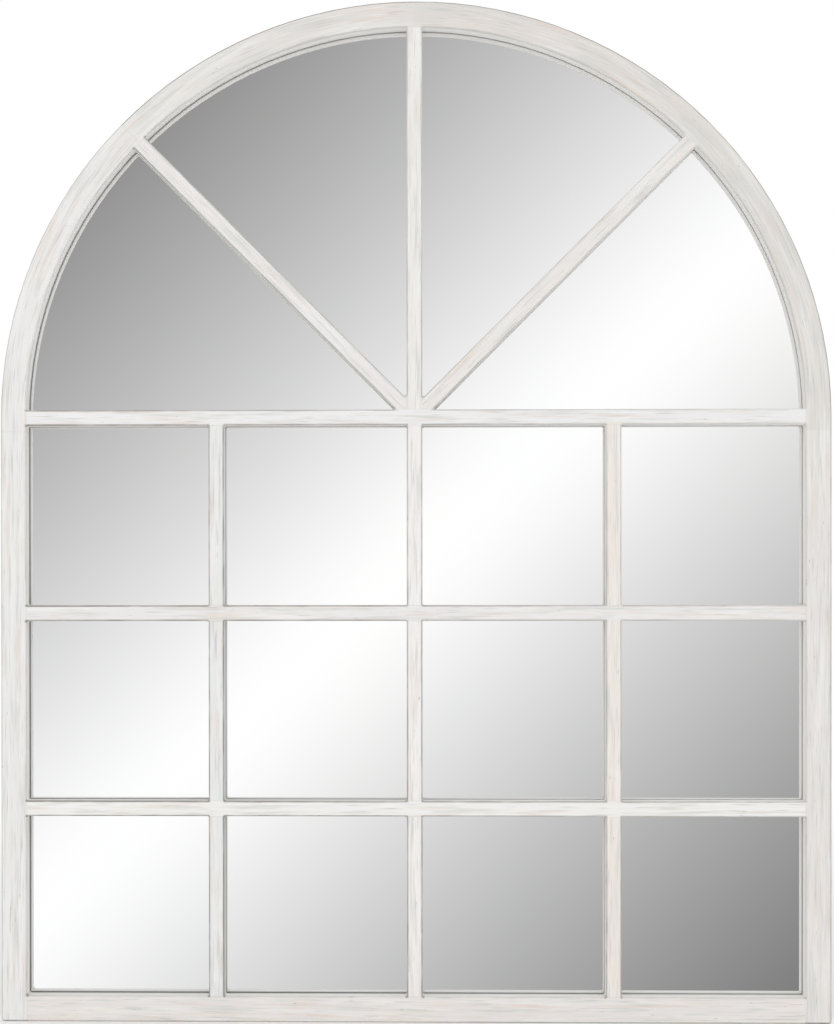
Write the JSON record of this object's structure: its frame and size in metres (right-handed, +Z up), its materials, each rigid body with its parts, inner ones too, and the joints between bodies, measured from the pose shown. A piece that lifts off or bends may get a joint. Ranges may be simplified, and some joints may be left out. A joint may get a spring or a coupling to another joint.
{
  "type": "arched window mirror",
  "caption": "Arched wall mirror in a whitewashed wooden window frame, with a fan of glazing bars above a grid of panes and ring hangers on its back.",
  "frame": {"origin": "middle of the line between the pivots of the two hanger rings, in the plane of the wall that the bumpers touch", "axes": "+X to the right and +Z up for someone who looks at the mirror, +Y from the mirror into the wall"},
  "size_m": [0.9, 0.0322, 1.106],
  "materials": {
    "whitewashed_pine": "white paint brushed on thin and rubbed back along the grain",
    "plywood": "raw",
    "mirror_glass": "silvered on the back, polished",
    "hardboard": "raw, smooth side out",
    "zinc_plated_steel": "bright zinc plate",
    "black_rubber": "moulded, matt"
  },
  "bodies": {
    "frame": {"arch_left_foot": "whitewashed_pine", "arch_left_shoulder": "whitewashed_pine", "arch_right_foot": "whitewashed_pine", "arch_right_shoulder": "whitewashed_pine", "back_board": "hardboard", "board_screw_01": "zinc_plated_steel", "board_screw_02": "zinc_plated_steel", "board_screw_03": "zinc_plated_steel", "board_screw_04": "zinc_plated_steel", "board_screw_05": "zinc_plated_steel", "board_screw_06": "zinc_plated_steel", "board_screw_07": "zinc_plated_steel", "board_screw_08": "zinc_plated_steel", "board_screw_09": "zinc_plated_steel", "board_screw_10": "zinc_plated_steel", "board_screw_11": "zinc_plated_steel", "bottom_rail": "whitewashed_pine", "bumper_left": "black_rubber", "bumper_right": "black_rubber", "crossbar_lower": "whitewashed_pine", "crossbar_upper": "whitewashed_pine", "fan_bar_centre": "whitewashed_pine", "fan_bar_left": "whitewashed_pine", "fan_bar_right": "whitewashed_pine", "hanger_screw_left_1": "zinc_plated_steel", "hanger_screw_left_2": "zinc_plated_steel", "hanger_screw_right_1": "zinc_plated_steel", "hanger_screw_right_2": "zinc_plated_steel", "hanger_strap_left": "zinc_plated_steel", "hanger_strap_right": "zinc_plated_steel", "left_stile": "whitewashed_pine", "mirror": "mirror_glass", "mullion_centre": "whitewashed_pine", "mullion_left": "whitewashed_pine", "mullion_right": "whitewashed_pine", "right_stile": "whitewashed_pine", "spline_crown": "plywood", "spline_left_foot": "plywood", "spline_left_shoulder": "plywood", "spline_right_foot": "plywood", "spline_right_shoulder": "plywood", "transom": "whitewashed_pine"},
    "ring_left": {"hanger_ring_left": "zinc_plated_steel"},
    "ring_right": {"hanger_ring_right": "zinc_plated_steel"}
  },
  "joints": [
    {"name": "ring_left_swing", "type": "hinge", "parent": "frame", "child": "ring_left", "pos_m": [-0.438, -0.004, 0], "axis": [1, 0, 0], "range_deg": [0, 186]},
    {"name": "ring_right_swing", "type": "hinge", "parent": "frame", "child": "ring_right", "pos_m": [0.438, -0.004, 0], "axis": [1, 0, 0], "range_deg": [0, 186]}
  ]
}
